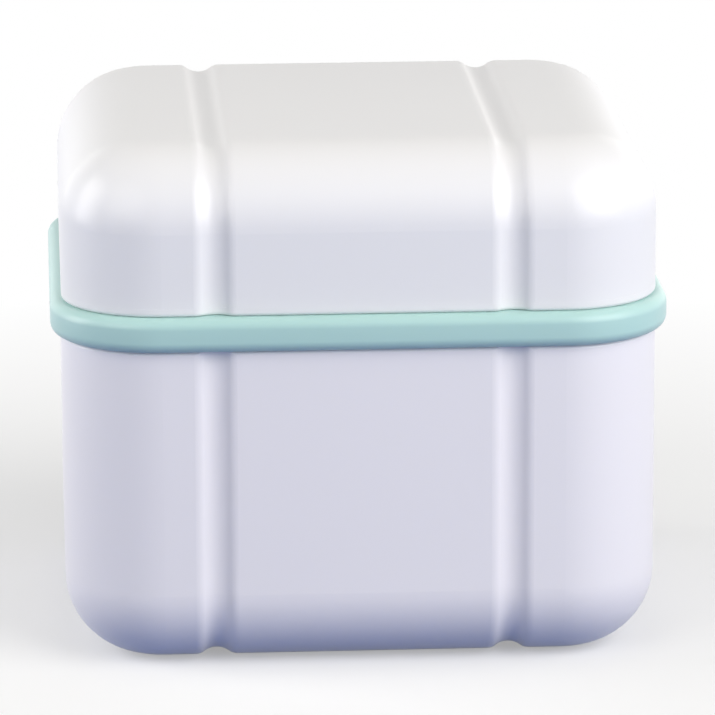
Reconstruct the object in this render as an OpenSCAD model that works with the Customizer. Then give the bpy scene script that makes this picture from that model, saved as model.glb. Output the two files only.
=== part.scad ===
// Denture case: a fluted box in two moulded shells, split by a soft ring and hinged behind.
// A slotted basket with a folding bail stands inside and lifts the denture out of its bath.
// Front is -Y, up is +Z, and the origin is the middle of the underside.

/* [Case] */
// Width of the case over its side walls
case_w = 85; // [78:1:100]
// Depth of the case over its front and back walls
case_d = 77; // [70:1:94]
// Height of the closed case
case_h = 75.5; // [71:0.5:90]
// Radius of the round along the top and bottom edges
edge_r = 11.5; // [9:0.5:12]
// Radius of the upright corners, seen from above
corner_r = 14; // [13:0.5:18]
// Radius of the round along the outer edge of both rims
rim_r = 0.6; // [0.3:0.1:0.8]
// Thickness of both shells
wall = 2.2; // [1.8:0.1:2.6]

/* [Soft ring and neck] */
// Height of the middle of the soft ring, which is also the height of the hinge
seam_z = 50; // [48:0.5:54]
// Height of the soft ring
ring_h = 5.6; // [4.4:0.2:6.4]
// How far the ring stands out from the walls
ring_proud = 1.6; // [1:0.1:2.2]
// Radius of the crown across the ring's outer face
ring_crown_r = 6; // [5:0.5:12]
// Thickness of the neck that the ring and the lid go round
neck_t = 1; // [0.8:0.1:1.3]
// Height of the neck above the ring
neck_rise = 3.6; // [2.5:0.1:5]
// Gap between the neck and the inside of the lid
neck_gap = 0.25; // [0.2:0.05:0.4]
// Gap between the neck and the ring stretched round it
ring_gap = 0.05; // [0.02:0.01:0.1]

/* [Flutes] */
// Distance of each flute from the middle of the case
flute_x = 21; // [20:0.5:24]
// Radius of the hollow of a flute
flute_r = 3; // [2.5:0.1:4]
// Depth of a flute
flute_depth = 1; // [0.7:0.1:1.3]
// Radius of the soft lips of a flute
lip_r = 2.1; // [1:0.1:2.5]

/* [Hinge] */
// Length of the hinge from end to end
hinge_w = 34; // [28:1:34]
// Width of the lid's knuckle in the middle
lid_knuckle_w = 18; // [12:1:20]
// Gap between neighbouring knuckles
knuckle_gap = 0.2; // [0.1:0.05:0.4]
// Radius of the knuckles
knuckle_r = 2.4; // [2:0.1:2.8]
// Radius of the hinge pin
pin_r = 1; // [0.8:0.1:1.2]
// Radial play of the pin in the base's knuckles, which hold it
pin_hold = 0.02; // [0.01:0.01:0.03]
// Radial play of the pin in the lid's knuckle, which turns on it
pin_play = 0.06; // [0.03:0.01:0.1]
// Gap between the knuckles and the ring
hinge_gap = 0.3; // [0.2:0.1:0.8]
// Reach of the knuckles' arms down and up the back wall
arm_reach = 10; // [8:0.5:12]
// Radius of the corners at the far ends of the arms
leaf_r = 4; // [2:0.5:4.5]
// Angle at which the lid's arm lands on the stop
stop_angle = 117; // [105:1:120]
// Reach of the stop past the barrel
stop_reach = 3.2; // [2.6:0.1:3.6]

/* [Basket] */
// Thickness of the basket's wall and floor
basket_t = 1.4; // [1.2:0.1:1.8]
// Height of the top of the basket's rim
basket_top = 40; // [36:0.5:41]
// Height of the feet under the basket
foot_h = 3.2; // [2.5:0.1:5]
// Radius of the feet
foot_r = 2.5; // [2:0.1:3.5]
// Distance of the feet from the middle of the case, across it
foot_x = 12; // [10:0.5:14]
// Gap between the feet and the rounds along the base's front and back edges
foot_gap = 0.5; // [0.2:0.1:2]
// Gap between the basket's rim and the neck
basket_gap = 0.6; // [0.5:0.1:1]
// How far the rim stands out from the basket's wall
rim_out = 1.2; // [0.8:0.1:1.6]
// Thickness of the rim
rim_t = 1.6; // [1.2:0.1:2.4]
// Radius of the round along the basket's bottom edge
basket_edge_r = 4; // [3:0.5:4]
// Width of the drain slots
slot_w = 2.4; // [1.8:0.1:3]
// Distance from slot to slot
slot_pitch = 6; // [5:0.5:8]
// Height of the slots in the walls
wall_slot_h = 18; // [10:1:20]
// Length of the slots in the floor
floor_slot_l = 20; // [12:1:22]

/* [Bail] */
// Thickness of the bail
bail_t = 2.6; // [2.2:0.1:3]
// Width of the bail's arms
bail_w = 1.8; // [1.6:0.1:2]
// Width of the bail's crossbar
grip_w = 4; // [3:0.5:6]
// Distance from the bail's pivots to the middle of its crossbar
bail_reach = 20; // [16:1:21]
// Outer radius of the bail's two bends
bail_bend_r = 9; // [6:0.5:12]
// Radius of the pegs that the bail turns on
peg_r = 1.1; // [0.9:0.1:1.2]
// Radial play of the pegs in the ears
peg_play = 0.08; // [0.05:0.01:0.1]
// Gap under and beside the folded bail
bail_gap = 0.15; // [0.1:0.05:0.3]
// Thickness of the ears on the rim
ear_t = 1.1; // [0.9:0.1:1.4]
// Radius of the ears
ear_r = 2.6; // [2.3:0.1:3]

/* [Hidden] */
$fn = 96;
// Overrun of a cut past the face that it opens
over = 1;
// How far a raised part is rooted in the wall that carries it
root = 0.8;
// How far the arc of a cut corner reaches past the sides that it joins
spill = 0.15;
// How far a pan's middle reaches past the axes of its corners
core = 0.3;

base_rim = seam_z - ring_h/2;
lid_rim = seam_z + ring_h/2;
lid_h = case_h - lid_rim;
neck_top = lid_rim + neck_rise;

// Insets from the outer wall faces
neck_out = wall + neck_gap;
neck_in = neck_out + neck_t;
basket_rim = neck_in + basket_gap;
basket_out = basket_rim + rim_out;
basket_in = basket_out + basket_t;

// Flute section: half its width between the lips, and where lip and hollow meet
lip_x = sqrt(pow(flute_r + lip_r, 2) - pow(flute_r - flute_depth + lip_r, 2));
meet_y = -lip_r + lip_r*(flute_r - flute_depth + lip_r)/(flute_r + lip_r);

// Hinge section, seen from the side and measured from its axis
hinge_out = ring_proud + hinge_gap + knuckle_r;
hinge_y = case_d/2 + hinge_out;
arm_clear = ring_h/2 + 0.5;
arm_foot = [-hinge_out, -arm_reach];
arm_touch = atan2(arm_foot.y, arm_foot.x) + acos(knuckle_r/norm(arm_foot));
arm_heel = knuckle_r*[cos(arm_touch), sin(arm_touch)];
arm_neck = knuckle_r*[cos(220), sin(220)];

bail_z = basket_top + bail_gap + bail_t/2;
bail_out = case_w/2 - basket_rim - ear_t - bail_gap;
basket_floor = wall + foot_h;
foot_y = case_d/2 - edge_r - foot_r - foot_gap;

// Where a point of the lid's hinge section lies once the lid has turned
function turned(p, a) = [p.x*cos(a) + p.y*sin(a), p.y*cos(a) - p.x*sin(a)];

// A section swept round a rounded rectangle: x is outward from the outline, y is up
module around(w, d, r) {
    for (i = [0:3]) {
        side = i%2 == 0 ? [w/2, d/2] : [d/2, w/2];
        rotate(90*i) {
            translate([side.x, side.y - r, 0])
                rotate([90, 0, 0])
                linear_extrude(2*(side.y - r))
                children();
            translate([side.x - r, side.y - r, 0])
                rotate_extrude(angle = 90)
                translate([r, 0])
                children();
        }
    }
}

// The outer quarter of a disc, below its middle (up = -1) or above it (up = 1)
module quarter(r, up) {
    intersection() {
        circle(r);
        translate([0, up < 0 ? -r - over : 0])
            square(r + over);
    }
}

// Section of a solid pan's edge, from near the axis of its corner out to its wall
module pan_section(r, e, rim, low, high) {
    translate([core - r, low])
        square([r - core - e, high - low]);
    translate([core - r, low + e])
        square([r - core, high - low - e - rim]);
    translate([-e, low + e])
        quarter(e, -1);
    if (rim > 0) {
        translate([core - r, low + e])
            square([r - core - rim, high - low - e]);
        translate([-rim, high - rim])
            quarter(rim, 1);
    }
}

// A solid pan, inset from the case's walls, with a bottom edge of radius e
// and its rim rounded by that radius
module pan(inset, e, low, high, rim = 0) {
    w = case_w - 2*inset;
    d = case_d - 2*inset;
    r = corner_r - inset;
    around(w, d, r)
        pan_section(r, e, rim, low, high);
    translate([r - core - w/2, r - core - d/2, low])
        cube([w - 2*(r - core), d - 2*(r - core), high - low]);
}

// Section of a flute's cut: x across it, y outward from the wall's face
module flute_section() {
    difference() {
        union() {
            translate([0, flute_r - flute_depth])
                circle(flute_r);
            translate([-lip_x, meet_y])
                square([2*lip_x, over - meet_y]);
        }
        for (side = [-1, 1])
            translate([side*lip_x, -lip_r])
                circle(lip_r);
    }
}

// Section of the rib that keeps the wall whole behind a flute
module rib_section() {
    translate([0, flute_r - flute_depth])
        circle(flute_r + wall);
}

// A flute's run round a pan: down the front, under the floor and up the back
module flute_run(high) {
    for (side = [-1, 1])
        translate([side*flute_x, 0, 0]) {
            for (back = [0, 1])
                mirror([0, back, 0]) {
                    translate([0, case_d/2, edge_r])
                        linear_extrude(high - edge_r)
                        children();
                    translate([0, case_d/2 - edge_r, edge_r])
                        rotate([90, 0, 90])
                        rotate([0, 0, -90])
                        rotate_extrude(angle = 90)
                        translate([edge_r, 0])
                        mirror([1, -1, 0])
                        children();
                }
            translate([0, edge_r - case_d/2, 0])
                rotate([-90, 0, 0])
                linear_extrude(case_d - 2*edge_r)
                children();
        }
}

// One moulded shell, open upward, with ribs behind its flutes up to rib_top
module shell(high, rib_top) {
    difference() {
        pan(0, edge_r, 0, high, rim_r);
        flute_run(high + over)
            flute_section();
        difference() {
            pan(wall, edge_r - wall, wall, high + over);
            flute_run(rib_top)
                rib_section();
        }
    }
}

// Section of the neck and of the ledge that carries it inside the base's rim
module neck_section() {
    ledge = neck_in - wall;
    polygon([
        [-neck_out, neck_top],
        [-neck_out, base_rim],
        [-wall + root, base_rim],
        [-wall + root, base_rim - ledge],
        [-wall, base_rim - 2*ledge - root],
        [-neck_in, base_rim - ledge],
        [-neck_in, neck_top]
    ]);
}

// Section of the ring: a crowned bead outside, and a flat web in on the base's rim
module ring_section() {
    translate([-neck_out + ring_gap, base_rim])
        square([neck_out - ring_gap, ring_h]);
    intersection() {
        translate([ring_proud - ring_crown_r, seam_z])
            circle(ring_crown_r);
        union() {
            translate([-ring_proud, base_rim + ring_proud])
                square([2*ring_proud, ring_h - 2*ring_proud]);
            for (z = [base_rim + ring_proud, lid_rim - ring_proud])
                translate([0, z])
                    circle(ring_proud);
        }
    }
}

// Section of a knuckle and its arm down the wall, without its bore
module knuckle_section() {
    circle(knuckle_r);
    polygon([
        [-hinge_out - root, -arm_clear],
        [-hinge_out, -arm_clear],
        arm_neck,
        arm_heel,
        arm_foot,
        arm_foot - [root, 0]
    ]);
}

// Section of the stop under the lid's knuckle, whose face the lid's arm lands on
module stop_section() {
    lid_heel = turned([arm_heel.x, -arm_heel.y], stop_angle);
    lid_foot = turned([arm_foot.x, -arm_foot.y], stop_angle);
    along = (lid_foot - lid_heel)/norm(lid_foot - lid_heel);
    difference() {
        polygon([
            [-hinge_out - root, -arm_clear],
            [-hinge_out, -arm_clear],
            lid_heel,
            lid_heel + stop_reach*along,
            arm_foot,
            arm_foot - [root, 0]
        ]);
        circle(knuckle_r + hinge_gap);
    }
}

// A stretch of a hinge section, along the hinge's axis
module hinge_part(from, to) {
    translate([from, hinge_y, seam_z])
        rotate([90, 0, 90])
        linear_extrude(to - from)
        children();
}

// Rounds the far corners of a stretch of hinge, below it (up = -1) or above it (up = 1)
module round_leaf(w, up) {
    reach = leaf_r - spill;
    difference() {
        children();
        for (side = [-1, 1])
            translate([side*(w/2 - reach), case_d/2 - root - over, seam_z + up*(arm_reach - reach)])
                rotate([-90, 0, 0])
                linear_extrude(hinge_out + knuckle_r + root + 2*over)
                scale([side, -up])
                difference() {
                    square(reach + over);
                    circle(leaf_r);
                }
    }
}

// A slot with round ends, standing along y
module slot(l) {
    square([slot_w, l - slot_w], center = true);
    for (end = [-1, 1])
        translate([0, end*(l - slot_w)/2])
            circle(slot_w/2);
}

// Places at slot_pitch, evenly about the middle, that fit into a span
function slot_places(span) = [
    let (n = floor((span/2 - slot_w/2)/slot_pitch))
    for (i = [-n:n]) i*slot_pitch
];

module base_shell() {
    color("whitesmoke")
    difference() {
        union() {
            shell(base_rim, base_rim);
            around(case_w, case_d, corner_r)
                neck_section();
            round_leaf(hinge_w, -1) {
                for (side = [0, 1])
                    mirror([side, 0, 0])
                        hinge_part(lid_knuckle_w/2 + knuckle_gap, hinge_w/2)
                        knuckle_section();
                hinge_part(-lid_knuckle_w/2 - knuckle_gap, lid_knuckle_w/2 + knuckle_gap)
                    stop_section();
            }
        }
        hinge_part(-hinge_w/2 - over, hinge_w/2 + over)
            circle(pin_r + pin_hold);
    }
}

module lid_shell() {
    color("white")
    difference() {
        union() {
            translate([0, 0, case_h])
                mirror([0, 0, 1])
                shell(lid_h, case_h - neck_top - over);
            round_leaf(lid_knuckle_w, 1)
                hinge_part(-lid_knuckle_w/2, lid_knuckle_w/2)
                mirror([0, 1])
                knuckle_section();
        }
        hinge_part(-lid_knuckle_w/2 - over, lid_knuckle_w/2 + over)
            circle(pin_r + pin_play);
    }
}

module seal_ring() {
    color("mediumaquamarine")
    around(case_w, case_d, corner_r)
        ring_section();
}

module hinge_pin() {
    color("silver")
    hinge_part(-hinge_w/2, hinge_w/2)
        circle(pin_r);
}

// An ear on the basket's rim that holds one end of the bail
module ear() {
    translate([case_w/2 - basket_rim - ear_t, 0, bail_z])
        rotate([90, 0, 90])
        linear_extrude(ear_t)
        difference() {
            union() {
                circle(ear_r);
                translate([-ear_r, basket_top - rim_t/2 - bail_z])
                    square([2*ear_r, bail_z - basket_top + rim_t/2]);
            }
            circle(peg_r + peg_play);
        }
}

module drain_basket() {
    slot_mid = (basket_floor + basket_edge_r + basket_top - rim_t)/2;
    flat_w = case_w - 2*basket_out - 2*basket_edge_r;
    flat_d = case_d - 2*basket_out - 2*basket_edge_r;
    color("aliceblue") {
        difference() {
            union() {
                pan(basket_out, basket_edge_r, basket_floor, basket_top);
                around(case_w, case_d, corner_r)
                    translate([-basket_out - basket_t/2, basket_top - rim_t])
                    square([basket_out + basket_t/2 - basket_rim, rim_t]);
            }
            pan(basket_in, basket_edge_r - basket_t, basket_floor + basket_t, basket_top + over);
            for (x = slot_places(flat_w))
                translate([x, 0, slot_mid])
                    rotate([90, 0, 0])
                    linear_extrude(case_d, center = true)
                    slot(wall_slot_h);
            for (y = slot_places(flat_d))
                translate([0, y, slot_mid])
                    rotate([90, 0, 90])
                    linear_extrude(case_w, center = true)
                    slot(wall_slot_h);
            for (x = slot_places(flat_w), side = [-1, 1])
                translate([x, side*(floor_slot_l + slot_w)/2, basket_floor])
                    linear_extrude(4*basket_t, center = true)
                    slot(floor_slot_l);
        }
        for (x = [-1, 1]*foot_x, y = [-1, 1]*foot_y)
            translate([x, y, wall])
                cylinder(r = foot_r, h = foot_h + basket_t/2);
        for (side = [0, 1])
            mirror([side, 0, 0])
                ear();
    }
}

// Outline of the folded bail, seen from above
module bail_outline() {
    front = bail_reach + grip_w/2;
    inner_r = bail_bend_r - bail_w;
    difference() {
        union() {
            translate([-bail_out, bail_bend_r - front])
                square([2*bail_out, front - bail_bend_r]);
            translate([bail_bend_r - bail_out, -front])
                square([2*(bail_out - bail_bend_r), front]);
            for (side = [-1, 1])
                translate([side*(bail_out - bail_bend_r), bail_bend_r - front])
                    circle(bail_bend_r);
        }
        translate([bail_w - bail_out, grip_w + inner_r - front])
            square([2*(bail_out - bail_w), front + over]);
        translate([bail_w + inner_r - bail_out, grip_w - front])
            square([2*(bail_out - bail_w - inner_r), front + over]);
        for (side = [-1, 1])
            translate([side*(bail_out - bail_w - inner_r), grip_w + inner_r - front])
                circle(inner_r);
    }
}

module basket_handle() {
    color("mediumaquamarine") {
        translate([0, 0, bail_z - bail_t/2])
            linear_extrude(bail_t)
            bail_outline();
        for (side = [0, 1])
            mirror([side, 0, 0])
                translate([bail_out - bail_w, 0, bail_z])
                rotate([0, 90, 0]) {
                    cylinder(r = bail_t/2, h = bail_w);
                    cylinder(r = peg_r, h = bail_w + bail_gap + ear_t);
                }
    }
}

base_shell();
lid_shell();
seal_ring();
hinge_pin();
drain_basket();
basket_handle();
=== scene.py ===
# Denture case: white fluted shells, a soft mint ring, and a slotted basket inside.
import math

import bmesh
import bpy
from mathutils import Matrix, Vector


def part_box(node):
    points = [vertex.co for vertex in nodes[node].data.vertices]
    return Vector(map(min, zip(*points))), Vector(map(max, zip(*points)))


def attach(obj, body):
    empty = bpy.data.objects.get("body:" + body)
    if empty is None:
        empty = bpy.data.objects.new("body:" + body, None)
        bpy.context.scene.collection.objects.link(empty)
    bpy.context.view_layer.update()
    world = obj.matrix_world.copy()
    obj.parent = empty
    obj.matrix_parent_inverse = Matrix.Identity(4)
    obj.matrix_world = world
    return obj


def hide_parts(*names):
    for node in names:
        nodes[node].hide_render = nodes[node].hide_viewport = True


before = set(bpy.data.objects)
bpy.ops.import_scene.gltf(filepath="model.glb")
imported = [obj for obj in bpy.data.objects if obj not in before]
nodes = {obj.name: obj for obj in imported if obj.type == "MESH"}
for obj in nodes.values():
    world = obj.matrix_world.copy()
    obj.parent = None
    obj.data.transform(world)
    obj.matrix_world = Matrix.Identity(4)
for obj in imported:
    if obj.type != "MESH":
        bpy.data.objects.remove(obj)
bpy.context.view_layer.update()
scene = bpy.context.scene
scene.view_settings.view_transform = "Standard"

MM = 0.001

# Camera, fitted to the case's outline, flutes and ring in the photograph
CAM_TURN = math.radians(-3.3)
CAM_RISE = math.radians(13.8)
CAM_ROLL = math.radians(-0.24)
CAM_AWAY = 0.809
CAM_NEAR = 0.05
CAM_FAR = 20.0
PX_PER_M = 6764.0
CENTRE_PX = (349.1, 349.3)
FRAME_PX = 715.0
SENSOR_MM = 36.0

# Sizes shared with the part's source
CORNER_R = 14 * MM
RIM_R = 0.6 * MM
NECK_CLEAR = 2.4 * MM
RING_PROUD = 1.6 * MM
FLUTE_X = 21 * MM
FLUTE_R = 3 * MM
FLUTE_DEPTH = 1 * MM
LIP_R = 2.1 * MM

# The ring as seen is lower than its solid, and the lid's rim reaches down to it
RING_SEEN = 5 * MM
RIM_IN = 1.6 * MM
RIM_OUT = 0.01 * MM

# How finely the swept forms' curves are drawn, in steps or in degrees for each step
LIP_STEPS = 4
TROUGH_STEPS = 10
CORNER_STEPS = 24
BEAD_DEGREES = 9
RIM_DEGREES = 15
SWEPT_SHARP = math.radians(35)

# Small rounds on the basket's and the bail's sharp edges
BASKET_ROUND = 0.2 * MM
BAIL_ROUND = 0.35 * MM
ROUND_STEPS = 2
ROUND_SHARP = math.radians(40)
WELD_REACH = 0.001 * MM

# Each plastic: its darker and lighter shade, roughness and milkiness
MINT = (0.42, 0.642, 0.615), (0.45, 0.672, 0.645)
PLASTICS = {
    "lid_white": ((0.82, 0.815, 0.825), (0.835, 0.83, 0.838), 0.33, 0.0),
    "base_white": ((0.82, 0.80, 0.83), (0.835, 0.815, 0.845), 0.33, 0.0),
    "mint_silicone": (*MINT, 0.33, 0.15),
    "basket_milk": ((0.80, 0.84, 0.86), (0.84, 0.87, 0.88), 0.35, 0.3),
    "handle_mint": (*MINT, 0.34, 0.0),
}

# Moulded plastic: cells per metre of its noises, and how far they reach
CLOUD_SCALE = 22
HAZE_SCALE = 45
HAZE_SPREAD = 0.03
WAVE_SCALE = 90
WAVE_STRENGTH = 0.1
WAVE_DEPTH = 0.05 * MM
PLASTIC_IOR = 1.49
MILK_REACH = 1.5 * MM
MILK_RADIUS = (1.0, 0.9, 0.8)

# Drawn steel: its colour, its grain, and the roughness that the grain runs between
STEEL = (0.6, 0.61, 0.63, 1)
STEEL_GRAIN = 900
STEEL_STRETCH = (0.05, 1, 1)
STEEL_ROUGH = (0.25, 0.4)
STEEL_CONTRAST = (0.3, 0.7)

# Floor: its size, how far it lies under the case, and where its shadow gives way to white
FLOOR_SIZE = 6.0
FLOOR_DROP = 0.02 * MM
FLOOR_BOUNCE = (0.01, 0.065, 0.28, 1)
FLOOR_PALE = (0.9, 0.9, 0.9, 1)
FLOOR_ROUGH = 0.7
FLOOR_GLOSS = 0.2
SHADOW_FROM, SHADOW_TO = 0.04, 0.2
SHADOW_WHITE = 0.35

# Light: the surround's even level, and softboxes that all face one point. Of each softbox, the
# turn to the right of the front and the rise in degrees, distance, size, and power in watts
WORLD_LEVEL = 0.05
WHITE = (1, 1, 1, 1)
LAMP_COLOUR = (1.0, 0.985, 0.955)
LAMP_AIM = Vector((0, 0, 0.04))
LAMPS = {
    "key_box": (48, 28, 0.8, (0.7, 0.7), 7.2),
    "left_front_box": (-45, 29, 0.8, (0.6, 0.6), 2.3),
    "left_box": (-97, 14, 0.7, (0.35, 0.6), 3.4),
    "right_box": (95, 13, 0.8, (0.5, 0.6), 0.8),
    "rear_right_box": (140, 6, 0.8, (0.6, 0.6), 1.0),
    "rear_left_box": (-140, 6, 0.8, (0.6, 0.6), 1.0),
}


def back_vector(turn, rise):
    """The unit vector from the case towards a viewer at that turn and rise."""
    level = math.cos(rise)
    return Vector((math.sin(turn) * level, -math.cos(turn) * level, math.sin(rise)))


def make_camera():
    """A long lens, slightly left of the case's front and a little above it."""
    data = bpy.data.cameras.new("camera")
    cam = bpy.data.objects.new("camera", data)
    scene.collection.objects.link(cam)
    aim = Vector((0, 0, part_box("lid_shell")[1].z / 2))
    back = back_vector(CAM_TURN, CAM_RISE)
    turn = (-back).to_track_quat("-Z", "Y").to_matrix() @ Matrix.Rotation(CAM_ROLL, 3, "Z")
    cam.matrix_world = Matrix.Translation(aim + back * CAM_AWAY) @ turn.to_4x4()
    data.sensor_width = SENSOR_MM
    data.lens = SENSOR_MM * PX_PER_M * CAM_AWAY / FRAME_PX
    data.shift_x = (FRAME_PX / 2 - CENTRE_PX[0]) / FRAME_PX
    data.shift_y = (CENTRE_PX[1] - FRAME_PX / 2) / FRAME_PX
    data.clip_start = CAM_NEAR
    data.clip_end = CAM_FAR
    scene.camera = cam


def new_material(name):
    """A node material, its node tree and its Principled shader."""
    mat = bpy.data.materials.new(name)
    mat.use_nodes = True
    return mat, mat.node_tree, mat.node_tree.nodes["Principled BSDF"]


def add(tree, kind, **inputs):
    """A node of that kind with some of its input sockets set."""
    node = tree.nodes.new(kind)
    for key, value in inputs.items():
        node.inputs[key.replace("_", " ")].default_value = value
    return node


def noise(tree, scale, detail=3.0, stretch=(1, 1, 1)):
    """Noise in object space, scale in cells per metre, stretched along the axes."""
    coord = tree.nodes.new("ShaderNodeTexCoord")
    mapping = add(tree, "ShaderNodeMapping", Scale=stretch)
    tex = add(tree, "ShaderNodeTexNoise", Scale=scale, Detail=detail)
    tree.links.new(coord.outputs["Object"], mapping.inputs["Vector"])
    tree.links.new(mapping.outputs["Vector"], tex.inputs["Vector"])
    return tex.outputs["Fac"]


def ramp(tree, source, low, high, from_low=0.15, from_high=0.85):
    """Maps a grey value onto a range between two numbers."""
    node = add(tree, "ShaderNodeMapRange", From_Min=from_low, From_Max=from_high)
    node.inputs["To Min"].default_value = low
    node.inputs["To Max"].default_value = high
    tree.links.new(source, node.inputs["Value"])
    return node.outputs["Result"]


def tint(tree, source, dark, light):
    """Mixes two close colours by a grey value."""
    node = tree.nodes.new("ShaderNodeMix")
    node.data_type = "RGBA"
    node.inputs["A"].default_value = (*dark, 1)
    node.inputs["B"].default_value = (*light, 1)
    tree.links.new(source, node.inputs["Factor"])
    return node.outputs["Result"]


def bump(tree, source, strength, depth):
    """A bump of that depth in metres from a grey value."""
    node = add(tree, "ShaderNodeBump", Strength=strength, Distance=depth)
    tree.links.new(source, node.inputs["Height"])
    return node.outputs["Normal"]


def moulded_plastic(name, dark, light, rough, milky):
    """Gloss plastic: faint cloudiness, roughness that drifts, and a moulding's slight waviness."""
    mat, tree, shader = new_material(name)
    cloud = ramp(tree, noise(tree, CLOUD_SCALE, 1.0), 0, 1)
    tree.links.new(tint(tree, cloud, dark, light), shader.inputs["Base Color"])
    haze = ramp(tree, noise(tree, HAZE_SCALE, 1.0), rough - HAZE_SPREAD, rough + HAZE_SPREAD)
    tree.links.new(haze, shader.inputs["Roughness"])
    wave = bump(tree, noise(tree, WAVE_SCALE, 0.0), WAVE_STRENGTH, WAVE_DEPTH)
    tree.links.new(wave, shader.inputs["Normal"])
    shader.inputs["IOR"].default_value = PLASTIC_IOR
    shader.inputs["Subsurface Weight"].default_value = milky
    shader.inputs["Subsurface Radius"].default_value = MILK_RADIUS
    shader.inputs["Subsurface Scale"].default_value = MILK_REACH
    return mat


def drawn_steel(name):
    """Bright steel wire, with a grain along its length."""
    mat, tree, shader = new_material(name)
    shader.inputs["Metallic"].default_value = 1.0
    shader.inputs["Base Color"].default_value = STEEL
    grain = noise(tree, STEEL_GRAIN, stretch=STEEL_STRETCH)
    rough = ramp(tree, grain, *STEEL_ROUGH, *STEEL_CONTRAST)
    tree.links.new(rough, shader.inputs["Roughness"])
    return mat


def dress(node, mat):
    """Gives a CAD node one material."""
    mesh = nodes[node].data
    mesh.materials.clear()
    mesh.materials.append(mat)


def soften(node, width):
    """Rounds a CAD node's sharp edges by that width, as a mould leaves them."""
    weld = nodes[node].modifiers.new("weld", "WELD")
    weld.merge_threshold = WELD_REACH
    edge = nodes[node].modifiers.new("edge", "BEVEL")
    edge.width = width
    edge.segments = ROUND_STEPS
    edge.limit_method = "ANGLE"
    edge.angle_limit = ROUND_SHARP
    even = nodes[node].modifiers.new("even", "WEIGHTED_NORMAL")
    even.keep_sharp = False


def flute_stations(along, out, middle):
    """Points across a flute, each with the wall's outward direction there."""
    reach = FLUTE_R + LIP_R
    rise = FLUTE_R - FLUTE_DEPTH
    lip_x = math.sqrt(reach ** 2 - (rise + LIP_R) ** 2)
    meet = math.acos(lip_x / reach)
    stations = []
    for side, first, last in ((-1, math.pi / 2, meet), (1, math.pi - meet, math.pi / 2)):
        for i in range(LIP_STEPS + 1):
            a = first + (last - first) * i / LIP_STEPS
            toward = along * math.cos(a) + out * math.sin(a)
            stations.append((middle + along * side * lip_x - out * LIP_R + toward * LIP_R, toward))
        if side < 0:
            for i in range(1, TROUGH_STEPS):
                a = meet + (math.pi - 2 * meet) * i / TROUGH_STEPS
                toward = along * math.cos(a) + out * math.sin(a)
                stations.append((middle + out * rise - toward * FLUTE_R, toward))
    return stations


def wall_stations(fluted):
    """Points round the case's walls, each with the wall's outward direction there."""
    low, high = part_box("lid_shell")
    half = Vector((high.x, -low.y))
    along, out = Vector((1, 0)), Vector((0, -1))
    stations = []
    for side in range(4):
        length, away = (half.x, half.y) if side % 2 == 0 else (half.y, half.x)
        if fluted and side % 2 == 0:
            for place in (-FLUTE_X, FLUTE_X):
                stations += flute_stations(along, out, out * away + along * place)
        centre = out * (away - CORNER_R) + along * (length - CORNER_R)
        for i in range(CORNER_STEPS + 1):
            a = math.pi / 2 * i / CORNER_STEPS
            toward = out * math.cos(a) + along * math.sin(a)
            stations.append((centre + toward * CORNER_R, toward))
        along, out = Vector((-along.y, along.x)), Vector((-out.y, out.x))
    return stations


def swept(name, stations, section):
    """A closed section, as pairs of distance out and height, swept round the case."""
    form = bmesh.new()
    loops = []
    for place, toward in stations:
        corners = [(place + toward * out, z) for out, z in section]
        loops.append([form.verts.new((at.x, at.y, z)) for at, z in corners])
    for i, loop in enumerate(loops):
        after = loops[(i + 1) % len(loops)]
        for k in range(len(section)):
            n = (k + 1) % len(section)
            form.faces.new((loop[k], after[k], after[n], loop[n]))
    bmesh.ops.recalc_face_normals(form, faces=form.faces)
    mesh = bpy.data.meshes.new(name)
    form.to_mesh(mesh)
    form.free()
    mesh.shade_smooth()
    mesh.set_sharp_from_angle(angle=SWEPT_SHARP)
    piece = bpy.data.objects.new(name, mesh)
    scene.collection.objects.link(piece)
    return piece


def make_ring(mat):
    """The soft ring: a flat-faced bead with full rounds, and the web that it sits on the rim by."""
    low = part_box("seal_ring")[0].z
    top = low + RING_SEEN
    section = [(-NECK_CLEAR, low)]
    for start, middle in ((0, low + RING_PROUD), (90, top - RING_PROUD)):
        for step in range(0, 91, BEAD_DEGREES):
            a = math.radians(start + step)
            section.append((RING_PROUD * math.sin(a), middle - RING_PROUD * math.cos(a)))
    section.append((-NECK_CLEAR, top))
    ring = swept("seal_ring_bead", wall_stations(False), section)
    ring.data.materials.append(mat)
    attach(ring, "base")
    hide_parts("seal_ring")


def make_lid_rim(mat):
    """The lid's rim, flush with its walls, drawn down to the ring with the same small round."""
    low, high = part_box("seal_ring")
    bottom = low.z + RING_SEEN
    shut = high.z + RIM_R
    section = [(RIM_OUT, shut)]
    for step in range(0, 91, RIM_DEGREES):
        a = math.radians(step)
        section.append((RIM_OUT + RIM_R * (math.cos(a) - 1), bottom + RIM_R * (1 - math.sin(a))))
    section += [(-RIM_IN, bottom), (-RIM_IN, high.z + RIM_R / 4), (-RIM_R, shut)]
    rim = swept("lid_rim", wall_stations(True), section)
    rim.data.materials.append(mat)
    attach(rim, "lid")


def area_lamp(name, turn, rise, away, size, power):
    """A softbox that faces the case from that turn and rise."""
    data = bpy.data.lights.new(name, "AREA")
    data.shape = "RECTANGLE"
    data.size, data.size_y = size
    data.energy = power
    data.color = LAMP_COLOUR
    lamp = bpy.data.objects.new(name, data)
    scene.collection.objects.link(lamp)
    back = back_vector(math.radians(turn), math.radians(rise))
    facing = back.to_track_quat("Z", "Y").to_matrix().to_4x4()
    lamp.matrix_world = Matrix.Translation(LAMP_AIM + back * away) @ facing


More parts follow.
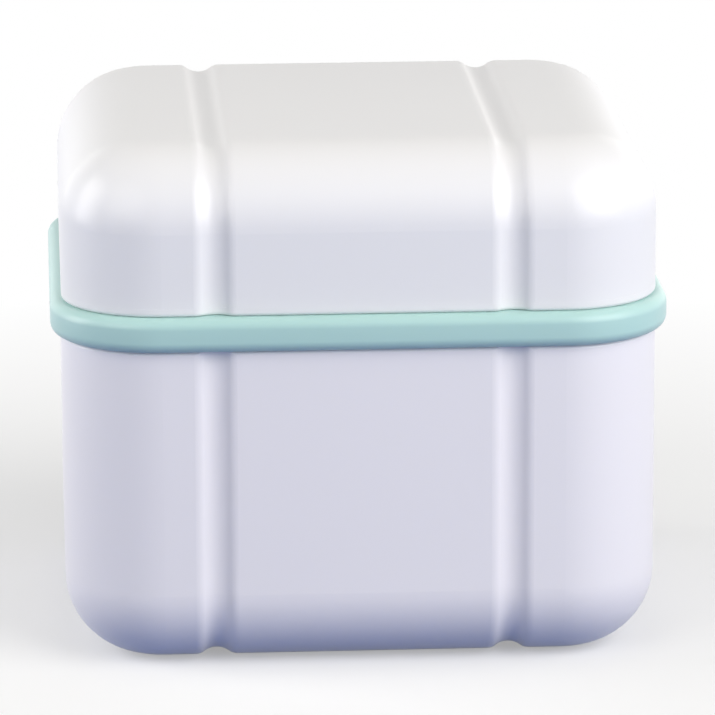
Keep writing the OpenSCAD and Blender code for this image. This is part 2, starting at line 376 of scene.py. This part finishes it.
def seen_or_mirrored(tree):
    """1 for rays from the camera, in a reflection or through glass, which see the white set."""
    path = tree.nodes.new("ShaderNodeLightPath")
    total = path.outputs["Is Camera Ray"]
    for ray in ("Is Glossy Ray", "Is Transmission Ray"):
        most = tree.nodes.new("ShaderNodeMath")
        most.operation = "MAXIMUM"
        tree.links.new(total, most.inputs[0])
        tree.links.new(path.outputs[ray], most.inputs[1])
        total = most.outputs[0]
    return total


def make_world():
    """A white surround to look at, and a soft even level of light from it."""
    world = bpy.data.worlds.new("surround")
    scene.world = world
    world.use_nodes = True
    tree = world.node_tree
    even = tree.nodes["Background"]
    even.inputs["Color"].default_value = WHITE
    even.inputs["Strength"].default_value = WORLD_LEVEL
    white = add(tree, "ShaderNodeBackground", Color=WHITE, Strength=1.0)
    mix = tree.nodes.new("ShaderNodeMixShader")
    tree.links.new(seen_or_mirrored(tree), mix.inputs["Fac"])
    tree.links.new(even.outputs[0], mix.inputs[1])
    tree.links.new(white.outputs[0], mix.inputs[2])
    tree.links.new(mix.outputs[0], tree.nodes["World Output"].inputs["Surface"])


def away_from_case(tree):
    """Rises from the case's foot outward, so that the floor keeps the shadow and ends in white."""
    coord = tree.nodes.new("ShaderNodeTexCoord")
    length = tree.nodes.new("ShaderNodeVectorMath")
    length.operation = "LENGTH"
    tree.links.new(coord.outputs["Object"], length.inputs[0])
    return ramp(tree, length.outputs["Value"], SHADOW_WHITE, 1.0, SHADOW_FROM, SHADOW_TO)


def make_floor():
    """A plain pale floor just under the case: white to look at, with the case's soft shadow."""
    bpy.ops.mesh.primitive_plane_add(size=FLOOR_SIZE, location=(0, 0, -FLOOR_DROP))
    floor = bpy.context.object
    floor.name = "floor"
    mat, tree, shader = new_material("floor")
    shader.inputs["Base Color"].default_value = FLOOR_BOUNCE
    shader.inputs["Roughness"].default_value = FLOOR_ROUGH
    shader.inputs["Specular IOR Level"].default_value = FLOOR_GLOSS
    shadow = add(tree, "ShaderNodeBsdfDiffuse", Color=FLOOR_PALE)
    white = add(tree, "ShaderNodeEmission", Strength=1.0)
    shown = tree.nodes.new("ShaderNodeMixShader")
    mix = tree.nodes.new("ShaderNodeMixShader")
    tree.links.new(away_from_case(tree), shown.inputs["Fac"])
    tree.links.new(shadow.outputs[0], shown.inputs[1])
    tree.links.new(white.outputs[0], shown.inputs[2])
    tree.links.new(seen_or_mirrored(tree), mix.inputs["Fac"])
    tree.links.new(shader.outputs[0], mix.inputs[1])
    tree.links.new(shown.outputs[0], mix.inputs[2])
    tree.links.new(mix.outputs[0], tree.nodes["Material Output"].inputs["Surface"])
    floor.data.materials.append(mat)


make_camera()
make_world()
make_floor()
for lamp_name, lamp_setting in LAMPS.items():
    area_lamp(lamp_name, *lamp_setting)

plastic = {name: moulded_plastic(name, *setting) for name, setting in PLASTICS.items()}
dress("base_shell", plastic["base_white"])
dress("lid_shell", plastic["lid_white"])
make_ring(plastic["mint_silicone"])
make_lid_rim(plastic["lid_white"])
dress("hinge_pin", drawn_steel("pin_steel"))
dress("drain_basket", plastic["basket_milk"])
dress("basket_handle", plastic["handle_mint"])
soften("basket_handle", BAIL_ROUND)
soften("drain_basket", BASKET_ROUND)
